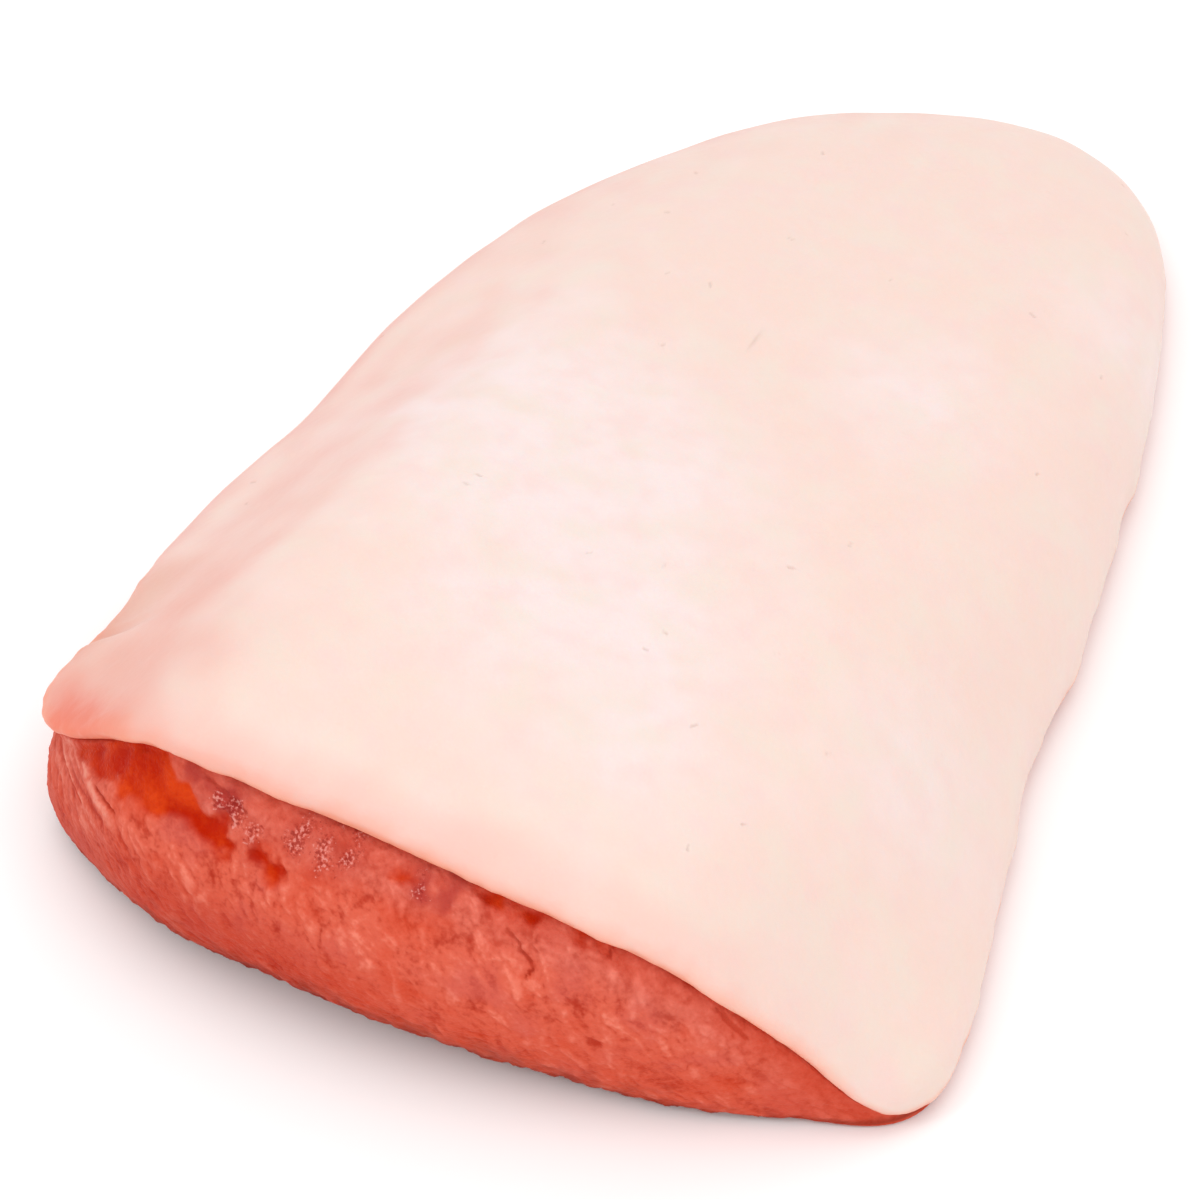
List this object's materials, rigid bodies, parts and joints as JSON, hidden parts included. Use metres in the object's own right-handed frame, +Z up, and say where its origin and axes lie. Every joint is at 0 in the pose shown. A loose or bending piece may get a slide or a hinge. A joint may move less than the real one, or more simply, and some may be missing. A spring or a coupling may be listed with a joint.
{
  "type": "raw picanha",
  "caption": "Raw beef rump cap: a thick wedge of red lean meat under a smooth layer of pale fat, cut across its wide end and tapering to a thin rounded tip.",
  "frame": {"origin": "on the underside, below the middle of the piece's bounding box", "axes": "+X to the right for someone who faces the cut, +Y from the cut end to the thin tip, +Z up through the fat"},
  "size_m": [0.1772, 0.2638, 0.0571],
  "materials": {
    "fat": "smooth raw fat, softly glossy",
    "lean": "moist cut muscle, grainy"
  },
  "bodies": {
    "root": {"fat_cap": "fat", "lean": "lean"}
  },
  "joints": []
}
